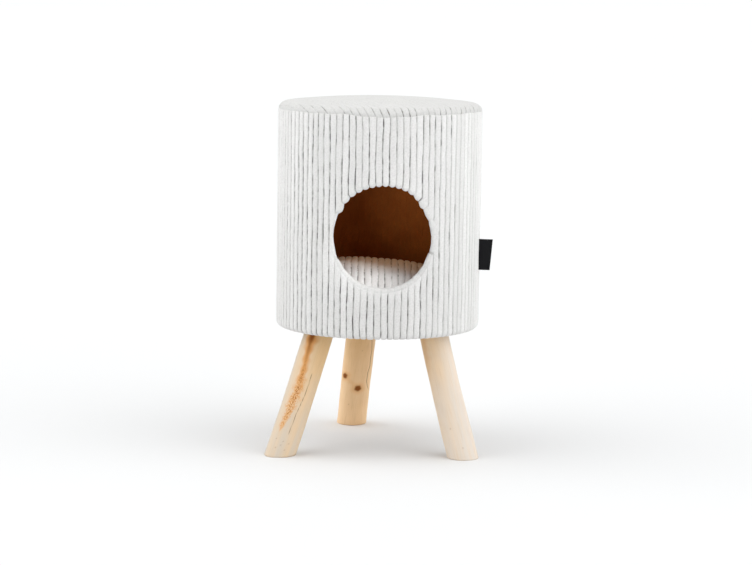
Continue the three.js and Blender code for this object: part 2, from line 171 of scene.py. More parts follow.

# Legs, in millimetres: foot round the drum's axis, share of that at the drum's underside, widths, bow.
# Marks on them: share of the way down, degrees from the front towards +X, and then for
# tan_and_shade: share of the darker tan wood, highest near the drum, where it is painted shade under it;
# streak: width, strength, how far it breaks up into flecks; knots: size.
# The grain's shift, in metres, moves the pattern of a leg's grain.
LEGS = {
    "leg_left": {
        "foot": (-162.6, -97.5), "top_share": 0.592, "foot_width": 51.5, "top_width": 49.0, "bow": 1.5,
        "grain_shift": 2.4, "crack_width": 0.6,
        "tan_and_shade": [(0.0, 50, 1.1), (0.3, 60, 0.8), (0.6, 70, 0.45), (1.0, 70, 0.25)],
        "streak": [(-0.1, -23, 11, 1.4, 0), (0.05, -23, 9.5, 1.35, 0), (0.1, -24, 7.5, 1.15, 0),
                   (0.16, -22, 6, 1.0, 0), (0.24, -18, 5, 0.92, 0.1), (0.35, -15, 6, 1.0, 0.4),
                   (0.51, -14, 8.5, 1.1, 0.85), (0.65, -22, 6.5, 1.0, 0.85), (0.75, -28, 4, 0.8, 0.6),
                   (0.81, -31, 2, 0, 0.5)],
        "crack": [(0.32, 20), (0.42, 22), (0.51, 20), (0.65, 11), (0.79, 8), (0.84, 7)],
        "knots": [(0.3, 165, 6), (0.62, -140, 4.5)],
        "specks": [(0.85, -32), (0.92, -24), (0.87, -3), (0.9, -8), (0.89, 20), (0.94, 12)],
    },
    "leg_right": {
        "foot": (148.4, -99.6), "top_share": 0.645, "foot_width": 52.0, "top_width": 48.0, "bow": -1.0,
        "grain_shift": 2.7, "crack_width": 0.6,
        "tan_and_shade": [(0.0, -60, 1.1), (0.3, -75, 0.75), (0.6, -80, 0.35), (1.0, -80, 0.15)],
        "streak": [(-0.1, -58, 12, 0.3, 0), (0.2, -62, 10, 0.25, 0), (0.45, -70, 6, 0, 0)],
        "crack": [(0.1, 150), (0.3, 154), (0.5, 149), (0.75, 146)],
        "knots": [(0.5, 120, 5), (0.25, -150, 4)],
        "specks": [(0.9, 10), (0.75, -20)],
    },
    "leg_rear": {
        "foot": (-44.0, 199.0), "top_share": 0.53, "foot_width": 52.5, "top_width": 53.0, "bow": 1.0,
        "grain_shift": 2.4, "crack_width": 1.0,
        "tan_and_shade": [(0.0, 0, 1.1), (0.35, 0, 0.75), (0.6, 0, 0.4), (1.0, 0, 0.4)],
        "streak": [(0.35, -52, 8, 0, 0), (0.54, -52, 9, 0.22, 0), (0.63, 5, 11, 0.2, 0),
                   (0.77, 12, 8, 0, 0)],
        "crack": [(0.15, 45), (0.21, 47), (0.3, 54), (0.37, 51), (0.445, 53), (0.51, 46), (0.59, 46),
                  (0.635, 53), (0.7, 74)],
        "knots": [(0.541, -50, 6.2), (0.649, 10, 6.6), (0.35, 170, 6)],
        "specks": [(0.8, -20), (0.3, 10)],
    },
}
LEG_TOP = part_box("leg_left")[1].z
LEG_SIDES = 140
LEG_ROWS = 150
LEG_CHAMFER = 1.2 * MM
# Unevenness of the logs: share of the radius, waves round the log, turns of the wave along it
LOG_LOBES = (0.018, 3, 4)
LOG_WAVES = [(0.006, 5, 6), (0.008, 0, 9), (0.004, 2, 23)]
TAN_FOCUS = 1.5  # higher narrows the side with the tan and its painted shade
STREAK_RAGGED = 0.3  # the streak's width varies by this share
STREAK_RIPPLES = ((60, 3), (23, -5))  # along and round the log
CRACK_EARLY = 0.01  # a crack starts this much before its first point
CRACK_FADE = 0.05
CRACK_DEPTH = 0.5 * MM
KNOT_RISE = 0.5 * MM
KNOT_LOBES = (0.06, 5)  # share of the size, and their number
KNOT_EDGE = (0.6, 1.2)  # in knot sizes
KNOT_HALO = (0.55, 1.7)  # strength, and width in knot sizes
SPECK = {"size": 1.3 * MM, "strength": 0.4, "edge": (0.4, 1.2)}

# Flag label, a folded strip in the groove that holds the side seam
LABEL = {
    "root": 172.5 * MM, "low": 313.5 * MM, "height": 53 * MM,
    "reach_top": 25.5 * MM, "reach_bottom": 21 * MM,
}
LABEL_GROOVE = 22
LABEL_HALF = 1.0 * MM  # half the folded thickness
LABEL_CLOTH = 0.6 * MM
LABEL_SWAY = 0.9 * MM
LABEL_TWIST = (2.6, 0.4)  # turn of the sway along the height, and its phase
LABEL_STEPS = 9
LABEL_ROWS = 19

# Colours, in linear red, green and blue
PLUSH = {
    "pale": (0.845, 0.842, 0.834), "dull": (0.815, 0.812, 0.803), "tuft": (0.72, 0.717, 0.705),
    # The pile darkens towards tone by its tones and painted shade; groove is the painted shade in the
    # grooves.
    "tone": (0.755, 0.755, 0.75), "groove": (0.22, 0.215, 0.205),
}
BROWN_BOARD = {"light": (0.52, 0.165, 0.03), "dark": (0.32, 0.09, 0.016)}
DARK_BOARD = {"light": (0.10, 0.06, 0.035), "dark": (0.06, 0.035, 0.02)}
# Each leg's colours are also set against the light on it: the rear leg's pale and the right leg's tan are
# brightened as painted light against the drum's shade, and the left leg's pale is darkened as painted shade
# where the light from the left falls.
PINE = {
    "leg_left": {"name": "pine_left", "pale": (0.6, 0.547, 0.478), "tan": (0.87, 0.58, 0.288)},
    "leg_right": {"name": "pine_right", "pale": (0.7, 0.635, 0.565), "tan": (0.9, 0.64, 0.378)},
    "leg_rear": {"name": "pine_rear", "pale": (0.91, 0.665, 0.43), "tan": (0.71, 0.442, 0.206)},
}
RESIN = {"haze": (0.78, 0.46, 0.19), "fleck": (0.66, 0.29, 0.07), "core": (0.28, 0.082, 0.012)}
KNOT_COLOUR = (0.23, 0.068, 0.01)
CRACK_COLOUR = (0.17, 0.08, 0.03)
RIBBON = {"gap": (0.006, 0.006, 0.007), "thread": (0.02, 0.02, 0.022)}
FLOOR_COLOUR = (0.788, 0.795, 0.799, 1)

# Camera, fitted to the photograph's 752 x 565 frame
CAMERA_FROM_AXIS = (-7.1 * MM, -4140 * MM, 843.7 * MM)
CAMERA_YAW = math.radians(0.056)
CAMERA_PITCH = math.radians(7.688)
CAMERA_ROLL = math.radians(0.869)
FOCAL_PIXELS = 2421.4
FRAME_WIDTH = 752
SENSOR = 36.0
FLOOR_SIZE = 300
VIEW_END = 500

# Sky: an even surround, and soft patches of it that are brighter or dimmer.
# Each patch: degrees from the front towards +X, degrees up, degrees within which it is full,
# degrees beyond which it is gone, strength.
SKY = 0.73
SKY_PATCHES = {
    "right_box": (58, 35, 18, 52, 1.53),
    "left_box": (-74, 35, 20, 50, 1.48),
    "dim_front": (-8, 20, 20, 54, -0.61),
}

# Spots: place and target round the drum's axis in metres, watts, cone in degrees and its soft share,
# and the lamp's radius in metres as softness.
# The beam falls on the front of the cushion through the entrance. The glow lights the wall inside.
# The bounce is the warm light that the boards throw on the cushion.
SPOTS = {
    "beam": {"place": (1.12, -2.36, 2.44), "target": (0, -0.175, 0.382), "watts": 225, "cone": 2.6,
             "soft_share": 0.8, "softness": 0.03, "colour": (1, 1, 1)},
    "glow": {"place": (-0.04, -0.135, 0.5), "target": (0.085, 0.14, 0.412), "watts": 0.5, "cone": 48,
             "soft_share": 1, "softness": 0.02, "colour": (1, 1, 1)},
    "bounce": {"place": (0.01, 0, 0.57), "target": (0.01, 0, 0.3), "watts": 0.65, "cone": 64,
               "soft_share": 1, "softness": 0.04, "colour": (1, 0.6, 0.32)},
}

rng = np.random.default_rng(11)


# Mesh helpers
def grid_faces(ids, wrap=False):
    """Quads between rows, listed upwards, and columns, listed to the right as seen from outside."""
    left = ids if wrap else ids[:, :-1]
    right = np.roll(ids, -1, axis=1) if wrap else ids[:, 1:]
    return np.stack([left[:-1], right[:-1], right[1:], left[1:]], -1).reshape(-1, 4)


def face_list(ids, wrap=False):
    """The same quads as a list of tuples."""
    return [tuple(face) for face in grid_faces(ids, wrap)]


def make_piece(name, points, faces, material, marks=None):
    """A smooth piece from points round the drum's axis; marks are numbers at each point for the material."""
    faces = [tuple(dict.fromkeys(int(i) for i in face)) for face in faces]
    used = np.unique(np.concatenate([np.array(face) for face in faces]))
    renumber = np.full(len(points), -1)
    renumber[used] = np.arange(len(used))
    faces = [[int(renumber[i]) for i in face] for face in faces]
    mesh = bpy.data.meshes.new(name)
    mesh.from_pydata((points[used] + AXIS).tolist(), [], faces)
    for label, values in (marks or {}).items():
        values = np.asarray(values, np.float32)[used]
        kind, field = ("FLOAT", "value") if values.ndim == 1 else ("FLOAT_VECTOR", "vector")
        mesh.attributes.new(label, kind, "POINT").data.foreach_set(field, values.ravel())
    mesh.shade_smooth()
    mesh.materials.append(material)
    piece = bpy.data.objects.new(name, mesh)
    bpy.context.scene.collection.objects.link(piece)
    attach(piece, "root")
    return piece


def smooth_step(value, low, high):
    """0 up to low and 1 from high on, with a smooth rise between them."""
    share = np.clip((value - low) / (high - low), 0, 1)
    return share * share * (3 - 2 * share)


def round_wall(radius, turn, z):
    """Points round the drum's axis, turned from the front towards +X."""
    return np.stack(np.broadcast_arrays(radius * np.sin(turn), -radius * np.cos(turn), z), -1)


# Corduroy ribs
def groove_waves(count, waves):
    """A seeded wave along each groove, as a function of the groove and the place along it."""
    phases = rng.uniform(0, FULL_TURN, (count, len(waves)))

    def wave(groove, place):
        return sum(swing * np.sin(FULL_TURN * place / length + phases[groove % count, k])
                   for k, (swing, length) in enumerate(waves))
    return wave


def across_rib(wave, rib, place, along):
    """A wave's value between the grooves at both sides of a rib."""
    return wave(rib, along) * (1 - place) + wave(rib + 1, along) * place


def nearest_groove(wave, rib, place, along):
    """A wave's value in the nearer of the two grooves."""
    return wave(rib + (place > 0.5), along)


def sunk_share(place, roundness=RIB_ROUNDNESS):
    """How deep the cloth lies at a place across a rib: 1 in the groove, 0 on the crest."""
    return np.abs(2 * place - 1) ** roundness


def groove_depth(strength):
    """Share of the rib height by which a groove of this strength is sunk."""
    return FAINT_DEPTH + (1 - FAINT_DEPTH) * strength


def seam_drop(points):
    """How far the seam hangs below its level, at each point's turn from the front."""
    turn = np.arctan2(points[:, 0], -points[:, 1])
    away = np.abs(turn - SEAM_DROP["turn"]) / SEAM_DROP["half_width"]
    waves = sum(swing * np.sin(count * turn + phase) for swing, count, phase in SEAM_WAVES)
    return SEAM_DROP["drop"] * (1 - smooth_step(away, *SEAM_DROP["fade"])) + waves


# Side cover: a wall grid with a slit at the entrance's height that is opened to a circle
def wall_columns():
    """What stays the same along each column of the wall's grid, with the seeded unevenness of its rib."""
    place = np.tile(RIB_PLACES, RIB_COUNT)
    rib = np.repeat(np.arange(RIB_COUNT), len(RIB_PLACES))
    turn = GROOVE_TURN + (rib + place) * FULL_TURN / RIB_COUNT
    groove = (rib + (place > 0.5)) % RIB_COUNT
    from_entrance = turn - ENTRANCE_TURN
    across = DRUM_RADIUS * np.arctan2(np.sin(from_entrance), np.cos(from_entrance))
    return SimpleNamespace(
        place=place, rib=rib, turn=turn, across=across,
        sunk=sunk_share(place),
        in_entrance=np.abs(across) < EDGE_RADIUS,
        rise=np.sqrt(np.maximum(0, EDGE_RADIUS ** 2 - across ** 2)),
        wander=groove_waves(RIB_COUNT, SIDE_WANDER),
        deepen=groove_waves(RIB_COUNT, GROOVE_DEPTH),
        lump_phase=rng.uniform(0, FULL_TURN, RIB_COUNT)[rib],
        groove_base=rng.uniform(*GROOVE_BASE, RIB_COUNT)[groove] - GROOVE_TREND * np.sin(turn),
        sill=rng.uniform(*SILL, RIB_COUNT)[groove],
        tone=rng.uniform(*RIB_TONES, RIB_COUNT)[rib],
    )


def wall_row(columns, z, inset=0.0, ribbed=1.0, out=1.0, down=0.0):
    """Points and painted groove shade of one row, with the ribs sunk against the way that its face looks."""
    from_middle = np.hypot(columns.across, z - ENTRANCE_Z)
    to_edge = from_middle - EDGE_RADIUS
    below = smooth_step((ENTRANCE_Z - z) / from_middle, SILL_FROM, SILL_FULL)
    ribbed = ribbed * (1 - SILL_FADE * below * (1 - smooth_step(to_edge, 0, columns.sill)))
    wander = across_rib(columns.wander, columns.rib, columns.place, z)
    shift = wander * smooth_step(to_edge, 0, ENTRANCE_STEADY) / DRUM_RADIUS
    strength = columns.groove_base + nearest_groove(columns.deepen, columns.rib, columns.place, z)
    strength = np.clip(strength, *GROOVE_LIMITS)
    lump = LUMP["height"] * np.sin(z / LUMP["short"] + columns.lump_phase)
    lump = lump * np.sin(z / LUMP["long"] + LUMP["shift"] * columns.rib)
    depth = (RIB_HEIGHT * columns.sunk * groove_depth(strength) + lump * (1 - columns.sunk)) * ribbed
    points = round_wall(FACE_RADIUS - inset - depth * out, columns.turn + shift, z + depth * down)
    return points, columns.sunk * strength * ribbed


def wall_rows(columns):
    """Rows from the hem's inner end up to the slit, and from the slit up to the seam."""
    wall_low = DRUM_BOTTOM + HEM_BEND
    wall_high = SEAM_Z - SEAM_EASE
    hem_inset = DRUM_RADIUS - HEM_INNER
    slit_low = ENTRANCE_Z - columns.rise
    slit_high = ENTRANCE_Z + columns.rise
    lower = []
    for share, height, ribbed, down in HEM_ROWS:
        inset = hem_inset + (HEM_BEND - hem_inset) * share
        lower.append(wall_row(columns, DRUM_BOTTOM + height, inset, ribbed, 0, down))
    for angle in np.linspace(QUARTER_TURN, 0, HEM_STEPS, endpoint=False):
        out, down = math.cos(angle), math.sin(angle)
        lower.append(wall_row(columns, wall_low - HEM_BEND * down, HEM_BEND * (1 - out), 1, out, down))
    for share in np.linspace(0, 1, int((ENTRANCE_Z - wall_low) / WALL_ROW) + 1):
        lower.append(wall_row(columns, wall_low + (slit_low - wall_low) * share))
    upper = []
    for share in np.linspace(0, 1, int((wall_high - ENTRANCE_Z) / WALL_ROW) + 1):
        upper.append(wall_row(columns, slit_high + (wall_high - slit_high) * share))
    for angle in np.radians(SEAM_ANGLES):
        out, up = math.cos(angle), math.sin(angle)
        ribbed = SEAM_RIBS + (1 - SEAM_RIBS) * out
        upper.append(wall_row(columns, wall_high + SEAM_EASE * up, SEAM_TUCK * (1 - out), ribbed))
    return lower, upper


def hole_loop(lower_row, upper_row, inside):
    """The entrance's edge as one loop of points: from its left end over the top and back below."""
    columns = np.nonzero(inside)[0]
    split = int(np.argmax(np.diff(columns) > 1)) + 1
    columns = np.concatenate([columns[split:], columns[:split]])
    left_end = lower_row[columns[0] - 1]
    right_end = lower_row[columns[-1] + 1]
    return np.concatenate([[left_end], upper_row[columns], [right_end], lower_row[columns[::-1]]])


def entrance_rings(edge, places):
    """Rings inwards from the entrance's edge: a roll, a bore through the board, a fold back against it."""
    turn = np.arctan2(edge[:, 0], -edge[:, 1]) - ENTRANCE_TURN
    angle = np.arctan2(edge[:, 2] - ENTRANCE_Z, DRUM_RADIUS * turn)
    ribbed = 1 - SILL_FADE * smooth_step(-np.sin(angle), SILL_FROM, SILL_FULL)
    groove = RIB_HEIGHT * ROLL_GROOVE * sunk_share(places) * ribbed
    scallop = SCALLOP * sunk_share(places, 2) * ribbed
    bearings, offsets = np.array(ENTRANCE_EDGE, float).T
    uneven = np.interp(np.degrees(angle), bearings, offsets, period=360) * MM

    def ring(grow, lean, depth, roll_depth, bore_share):
        """One ring, sunk along the roll's own direction, a share of the way in to the lip's cylinder."""
        reach = ENTRANCE_RADIUS + grow + uneven * min(1, 1 - grow / ENTRANCE_ROLL)
        wall_turn = reach * np.cos(angle) / DRUM_RADIUS
        x = FACE_RADIUS * np.sin(wall_turn)
        face_y = -FACE_RADIUS * np.cos(wall_turn)
        lip_y = -np.sqrt(LIP_RADIUS ** 2 - x ** 2)
        y = face_y + roll_depth + (lip_y - face_y - roll_depth) * bore_share
        z = ENTRANCE_Z + reach * np.sin(angle)
        x = x + depth * (math.sin(lean) * np.cos(angle) - math.cos(lean) * np.sin(wall_turn))
        y = y + depth * math.cos(lean) * np.cos(wall_turn)
        z = z + depth * math.sin(lean) * np.sin(angle)
        cos_turn, sin_turn = math.cos(ENTRANCE_TURN), math.sin(ENTRANCE_TURN)
        return np.stack([x * cos_turn - y * sin_turn, x * sin_turn + y * cos_turn, z], -1)

    rings = []
    for lean in np.linspace(0, QUARTER_TURN, ROLL_STEPS + 1)[1:]:
        share = math.sin(lean)
        grow = (ENTRANCE_ROLL + ROLL_BULGE) * (1 - share) - ROLL_BULGE
        depth = groove * (1 - share) + scallop * share
        rings.append(ring(grow, lean, depth, ENTRANCE_ROLL * (1 - math.cos(lean)), 0))
    for grow, scalloped, share in BORE_RINGS:
        rings.append(ring(grow, QUARTER_TURN, scallop * scalloped, ENTRANCE_ROLL, share))
    return rings


def side_cover(material):
    """The wall's cloth, turned in at the entrance and turned under at the lower edge."""
    columns = wall_columns()
    lower, upper = wall_rows(columns)
    points = np.concatenate([row for row, _ in lower + upper])
    points[:, 2] -= seam_drop(points) * smooth_step(points[:, 2], SEAM_Z - SEAM_REACH, SEAM_Z)
    marks = np.concatenate([sunk for _, sunk in lower + upper])
    wall_count = len(points)
    ids = np.arange(wall_count).reshape(len(lower) + len(upper), -1)
    lower_ids = ids[:len(lower)]
    upper_ids = ids[len(lower):].copy()
    upper_ids[0, ~columns.in_entrance] = lower_ids[-1, ~columns.in_entrance]
    loop = hole_loop(lower_ids[-1], upper_ids[0], columns.in_entrance)
    loop_columns = loop % ids.shape[1]
    rings = entrance_rings(points[loop], columns.place[loop_columns])
    ring_ids = wall_count + np.arange(len(rings) * len(loop)).reshape(len(rings), -1)
    faces = [grid_faces(lower_ids, wrap=True), grid_faces(upper_ids, wrap=True),
             grid_faces(np.concatenate([ring_ids[::-1], [loop]]), wrap=True)]
    points = np.concatenate([points] + rings)
    marks = np.concatenate([marks] + [marks[loop] * fade for fade in np.linspace(1, ROLL_FADE, len(rings))])
    # Painted shade on the lower part of the entrance's roll.
    under = smooth_step((ENTRANCE_Z - points[wall_count:, 2]) / ENTRANCE_RADIUS, 0, LIP_SHADE_FULL)
    ring_tones_and_shade = np.tile(columns.tone[loop_columns], len(rings)) + LIP_PAINTED_SHADE * under
    tones_and_shade = np.concatenate([np.tile(columns.tone, len(ids)), ring_tones_and_shade])
    # Painted shade: the wall is darker towards its lower edge.
    tones_and_shade = tones_and_shade + LOW_PAINTED_SHADE * (1 - smooth_step(points[:, 2], DRUM_BOTTOM, SEAM_Z))
    piece = make_piece("side_corduroy", points, np.concatenate(faces), material,
                       {"sunk": marks, "tone": tones_and_shade})
    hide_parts("side_cover")


# Ribbed discs: columns follow the ribs, and each runs from rim to rim
def disc_columns(reach):
    """Distance across, rib and place across the rib for every column but the two ends."""
    half_ribs = int(reach / RIB_PITCH) + 1
    ribs = np.repeat(np.arange(-half_ribs, half_ribs + 1), len(RIB_PLACES))
    across = (ribs + np.tile(RIB_PLACES, 2 * half_ribs + 1)) * RIB_PITCH
    ends = reach * np.sin(np.radians(DISC_ENDS))
    across = np.concatenate([-ends[::-1], across[np.abs(across) < ends[0]], ends])
    rib = np.floor(across / RIB_PITCH + 1e-6).astype(int)
    return across, rib + half_ribs + 2, across / RIB_PITCH - rib


def disc_profile(disc, distance):
    """Radius, height and outward direction of a padded disc's face, at a distance along the cloth."""
    flat = disc["radius"] - disc["edge"]
    angle = np.maximum(0, distance - flat) / disc["edge"]
    middle = np.minimum(distance, flat)
    radius = middle + disc["edge"] * np.sin(angle)
    z = disc["level"] + disc["crown"] * (1 - (middle / flat) ** 2) - disc["edge"] * (1 - np.cos(angle))
    return radius, z, np.sin(angle), np.cos(angle)


def disc_face(disc, rim_sink):
    """A ribbed face: plain points, outward directions, depths to sink them by, painted groove shade, faces,
    rim.
    """
    drop = disc["level"] - disc["rim_z"]
    flat = disc["radius"] - disc["edge"]
    reach = flat + disc["edge"] * math.acos(1 - drop / disc["edge"])
    across, rib, place = disc_columns(reach)
    steps = np.linspace(-1, 1, 2 * DISC_STEPS + 1)[:, None]
    along = np.sign(steps) * (1 - (1 - np.abs(steps)) ** DISC_CROWD) * np.sqrt(reach ** 2 - across ** 2)
    wander = groove_waves(rib.max() + 2, DISC_WANDER)
    deepen = groove_waves(rib.max() + 2, GROOVE_DEPTH)
    steady = smooth_step(reach - np.hypot(across, along), 0, RIM_STEADY)
    moved = across + across_rib(wander, rib, place, along) * steady
    distance = np.minimum(np.hypot(moved, along), reach)
    angle = np.arctan2(along, moved) + disc["turn"]
    radius, z, out, up = disc_profile(disc, distance)
    strength = np.clip(DISC_GROOVE + nearest_groove(deepen, rib, place, along), *GROOVE_LIMITS)
    over_edge = np.abs(along) / np.maximum(distance, RIB_PITCH)
    risen = smooth_step(distance - flat, *RIBS_RISE) * over_edge
    ribbed = disc["flat_ribs"] + (1 - disc["flat_ribs"]) * risen
    off_rim = smooth_step(reach - distance, 0, RIM_FADE)
    sunk = sunk_share(place, disc["roundness"]) * ribbed
    depth = disc["rib_height"] * sunk * groove_depth(strength) * off_rim + rim_sink * (1 - off_rim)
    marks = disc["dark"] * sunk_share(place) * ribbed * strength
    x = radius * np.cos(angle)
    z = z + disc["lean"] * x * np.minimum(1, (z - disc["rim_z"]) / drop)
    points = np.stack([x, radius * np.sin(angle), z], -1)
    outward = np.stack([out * np.cos(angle), out * np.sin(angle), up], -1)
    right_way = np.array([math.cos(disc["turn"]), math.sin(disc["turn"]), 0])
    ends = np.stack([-right_way, right_way])
    end_points = ends * disc["radius"] + np.array([0, 0, disc["rim_z"]])
    ids = np.arange(along.size).reshape(along.shape)
    left_end, right_end = along.size, along.size + 1
    faces = face_list(ids)
    faces += [(left_end, low, high) for low, high in zip(ids[:-1, 0], ids[1:, 0])]
    faces += [(right_end, high, low) for low, high in zip(ids[:-1, -1], ids[1:, -1])]
    return {
        "points": np.concatenate([points.reshape(-1, 3), end_points]),
        "outward": np.concatenate([outward.reshape(-1, 3), ends]),
        "depth": np.concatenate([depth.ravel(), [rim_sink, rim_sink]]),
        "marks": np.concatenate([marks.ravel(), [0, 0]]),
        "faces": faces,
        "rim": np.concatenate([[left_end], ids[0], [right_end], ids[-1, ::-1]]),
    }


def top_cover(material):
    """Padded top panel, its edge drawn down into the seam."""
    face = disc_face(TOP_PANEL, SEAM_TUCK)
    points = face["points"] - face["outward"] * face["depth"][:, None]
    points[:, 2] = np.maximum(points[:, 2], SEAM_Z)
    radius = np.hypot(points[:, 0], points[:, 1])
    edge = smooth_step(radius, TOP_PANEL["radius"] - TOP_PANEL["edge"], DRUM_RADIUS)
    points[:, 2] -= seam_drop(points) * edge
    rim = face["rim"]
    tuck = points[rim] * TOP_TUCK - TOP_TUCK_DROP
    ids = np.stack([len(points) + np.arange(len(rim)), rim])
    faces = face["faces"] + face_list(ids, wrap=True)
    marks = np.concatenate([face["marks"], face["marks"][rim]])
    points = np.concatenate([points, tuck])
    # Painted shade: the whole top panel is darkened, as it faces the light from above.
    tones_and_shade = np.full(len(points), TOP_PANEL["tone"])
    piece = make_piece("top_corduroy", points, faces, material, {"sunk": marks, "tone": tones_and_shade})
    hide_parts("top_cover")


# Cushion: its solid is blown up by a cloth simulation, and the ribbed face is laid on the result
def swollen_pad():
    """A search tree of the cushion's solid after inflating, with the drum's axis at zero."""
    pad = bpy.data.objects.new("pad_form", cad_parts["cushion"].data.copy())
    bpy.context.scene.collection.objects.link(pad)
    low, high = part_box("cushion")
    middle = (low + high) / 2
    pad.data.transform(Matrix.Diagonal(PAD_SHRINK) @ Matrix.Translation(-middle))
    remesh = pad.modifiers.new("remesh", "REMESH")
    remesh.mode = "VOXEL"
    remesh.voxel_size = PAD_VOXEL
    bpy.context.view_layer.objects.active = pad
    bpy.ops.object.modifier_apply(modifier=remesh.name)
    before = np.array([vertex.co for vertex in pad.data.vertices])
    cloth = pad.modifiers.new("cloth", "CLOTH")
    cloth.settings.use_pressure = True
    cloth.settings.uniform_pressure_force = PAD_PRESSURE
    cloth.settings.effector_weights.gravity = 0
    for step in range(1, PAD_STEPS + 1):
        bpy.context.scene.frame_set(step)
    swollen = pad.evaluated_get(bpy.context.evaluated_depsgraph_get()).data
    move = np.array([vertex.co for vertex in swollen.vertices]) - before
    length = np.linalg.norm(move, axis=1, keepdims=True)
    after = before + move * np.minimum(1, PAD_CAP / np.maximum(length, 1e-9))
    fit = np.array(high - low) / (after.max(axis=0) - after.min(axis=0))
    after = (after - after.min(axis=0)) * fit + np.array(low) - AXIS
    polygons = [list(polygon.vertices) for polygon in pad.data.polygons]
    bpy.context.scene.frame_set(1)
    bpy.data.objects.remove(pad)
    return BVHTree.FromPolygons(after.tolist(), polygons)


def lay_on_pad(points, outward):
    """Moves each point along its outward direction onto the swollen pad, where it finds it."""
    pad = swollen_pad()
    for k, (point, way) in enumerate(zip(points, outward)):
        way = Vector(way).normalized()
        hit = pad.ray_cast(Vector(point) - way * PAD_SEARCH, way, 2 * PAD_SEARCH)[0]
        points[k] = point if hit is None else hit


def cushion(material):
    """Loose round pad with ribs from front to back and a flat underside."""
    face = disc_face(CUSHION, 0)
    points, outward, rim = face["points"], face["outward"], face["rim"]
    faces, upper = list(face["faces"]), rim
    for inset, height in CUSHION_BELOW:
        ring = points[rim] * np.array([1, 1, 0]) * (CUSHION["radius"] - inset) / CUSHION["radius"]
        lower = len(points) + np.arange(len(rim))
        points = np.concatenate([points, ring + np.array([0, 0, CUSHION_UNDER + height])])
        if height:
            ways = outward[rim] * np.array([1, 1, 0])
        else:
            ways = np.tile([0, 0, -1], (len(rim), 1))
        outward = np.concatenate([outward, ways])
        faces += face_list(np.stack([lower, upper]), wrap=True)
        upper = lower
    faces.append(tuple(upper[::-1]))
    lay_on_pad(points, outward)
    plain = np.zeros(len(CUSHION_BELOW) * len(rim))
    depth = np.concatenate([face["depth"], plain])
    marks = np.concatenate([face["marks"], plain])
    points = points - outward * depth[:, None]
    radius = np.hypot(points[:, 0], points[:, 1])
    points[:, :2] *= np.minimum(1, CUSHION_ROOM / np.maximum(radius, 1e-9))[:, None]
    points[:, 2] = np.maximum(points[:, 2], CUSHION_UNDER)
    # Painted shade: the whole cushion is darkened in the cave.
    tones_and_shade = np.full(len(points), CUSHION["tone"])
    piece = make_piece("cushion_corduroy", points, faces, material,
                       {"sunk": marks, "tone": tones_and_shade})
    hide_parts("cushion")


# Legs
def path_at(path, place):
    """Values between the rows of a path, whose first column is the place."""
    table = np.array(path, float)
    return [np.interp(place, table[:, 0], table[:, column]) for column in range(1, table.shape[1])]


def log_marks(leg, down, turn, radius, length, phase):
    """Streak, flecks, tan side with painted shade near the drum, crack and knots of a log, each as a grid of
    its rows and turns.
    """
    flat = np.zeros(np.broadcast(down, turn).shape)

    def around_log(degrees):
        away = turn - np.radians(degrees)
        return radius * np.arctan2(np.sin(away), np.cos(away))

    angle, width, strength, fleck = path_at(leg["streak"], down)
    first, second = (along * down + around * turn for along, around in STREAK_RIPPLES)
    ragged = 1 + STREAK_RAGGED * np.sin(first + phase) * np.sin(second)
    stain = strength * np.exp(-(around_log(angle) / (width * MM * ragged)) ** 2) + flat
    # Darker tan wood, with painted shade under the drum where the share is highest.
    tan_side, tan_and_shade_share = path_at(leg["tan_and_shade"], down)
    tan_and_shade = tan_and_shade_share * (0.5 + 0.5 * np.cos(turn - np.radians(tan_side))) ** TAN_FOCUS
    crack_from, crack_to = leg["crack"][0][0] - CRACK_EARLY, leg["crack"][-1][0]
    crack_ends = smooth_step(down, crack_from, crack_from + CRACK_FADE)
    crack_ends = crack_ends * (1 - smooth_step(down, crack_to - CRACK_FADE, crack_to))
    from_crack = around_log(path_at(leg["crack"], down)[0])
    crack = np.exp(-(from_crack / (leg["crack_width"] * MM)) ** 2) * crack_ends
    knot = flat.copy()
    for place, degrees, size in leg["knots"]:
        side, below = around_log(degrees), (down - place) * length
        lobes = KNOT_LOBES[0] * np.sin(KNOT_LOBES[1] * np.arctan2(below, side) + degrees)
        distance = np.hypot(side, below) / (size * MM) * (1 + lobes)
        knot = np.maximum(knot, 1 - smooth_step(distance, *KNOT_EDGE))
        stain = np.maximum(stain, KNOT_HALO[0] * np.exp(-(distance / KNOT_HALO[1]) ** 2))
    for place, degrees in leg["specks"]:
        distance = np.hypot(around_log(degrees), (down - place) * length) / SPECK["size"]
        knot = np.maximum(knot, SPECK["strength"] * (1 - smooth_step(distance, *SPECK["edge"])))
    return {"stain": stain, "fleck": fleck + flat, "crack": crack, "knot": knot, "tan_and_shade": tan_and_shade}


